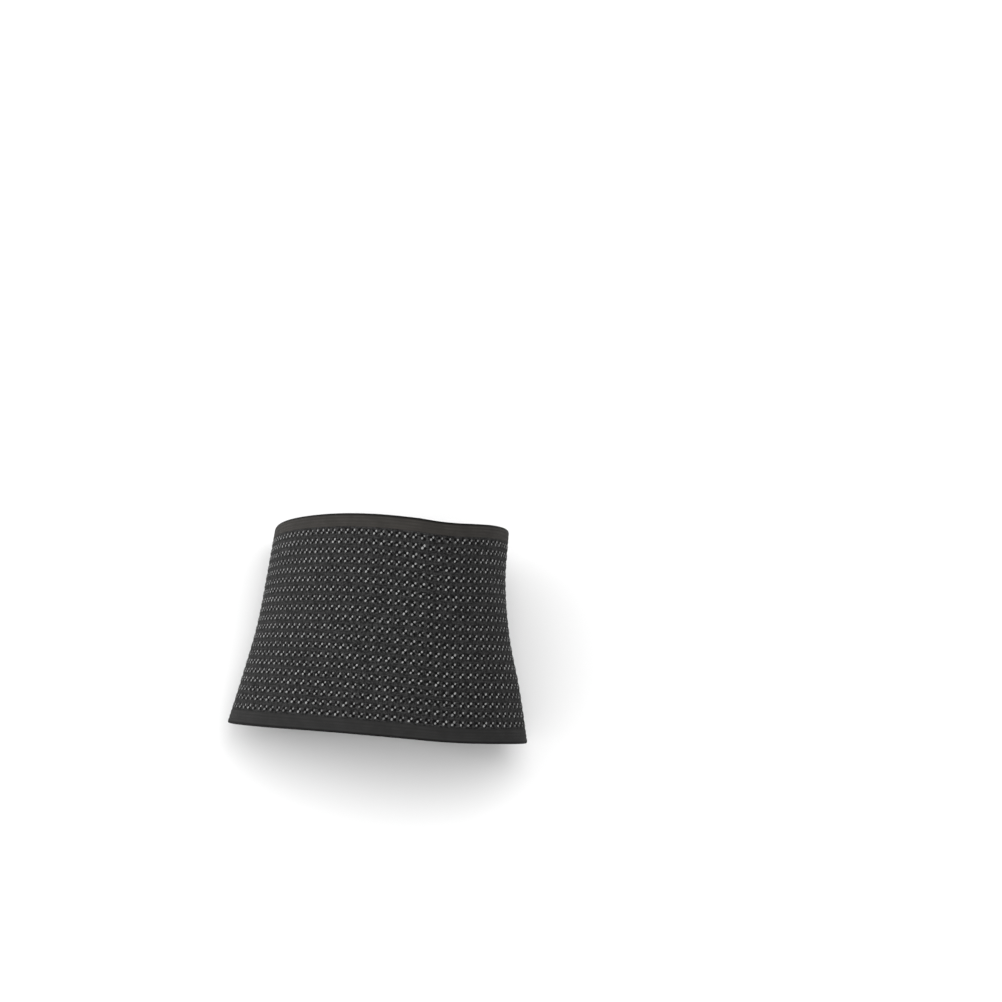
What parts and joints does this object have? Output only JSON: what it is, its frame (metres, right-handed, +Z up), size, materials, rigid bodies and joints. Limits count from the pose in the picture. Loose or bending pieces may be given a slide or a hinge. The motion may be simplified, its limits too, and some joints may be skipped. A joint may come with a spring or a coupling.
{
  "type": "arch support sleeve",
  "caption": "Ribbed elastic knit band, worn round the middle of a foot to hold up its arch; it flares towards the toes and has a plain hem at each open end.",
  "frame": {"origin": "on the inner face of the sole, under the middle of the foot's arch", "axes": "+Z up through the instep, -Y towards the toes, +X towards the big-toe side of a right foot"},
  "size_m": [0.0969, 0.0771, 0.0689],
  "materials": {
    "knit": "matt dark grey elastic knit with light grey stitches",
    "hem": "matt dark grey close knit"
  },
  "bodies": {
    "root": {"ankle_hem": "hem", "knit_body": "knit", "toe_hem": "hem"}
  },
  "joints": []
}
